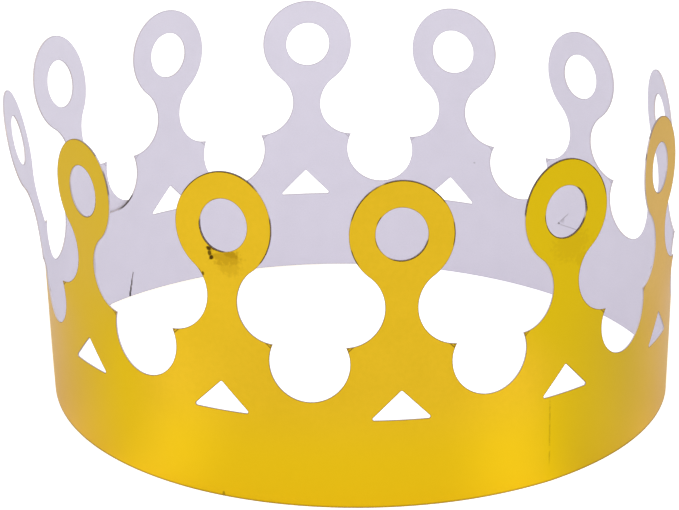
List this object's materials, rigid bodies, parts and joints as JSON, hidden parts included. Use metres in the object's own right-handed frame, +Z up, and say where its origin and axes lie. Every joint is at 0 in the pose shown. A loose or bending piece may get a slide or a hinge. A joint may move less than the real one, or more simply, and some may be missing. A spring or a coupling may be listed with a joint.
{
  "type": "paper crown",
  "caption": "Party crown of foil card: a die-cut strip with ringed points, rolled into a head-size ring, gold outside and plain white inside",
  "frame": {"origin": "the middle of the box round the crown, on the level that it stands on", "axes": "+Z is up, through the open middle; -Y is the front that the picture shows; the lap is at -X +Y"},
  "size_m": [0.2054, 0.2014, 0.0987],
  "materials": {
    "foil_card": "satin gold metallic foil outside, plain white card inside and on the cut edges"
  },
  "bodies": {
    "root": {"crown_strip": "foil_card"}
  },
  "joints": []
}
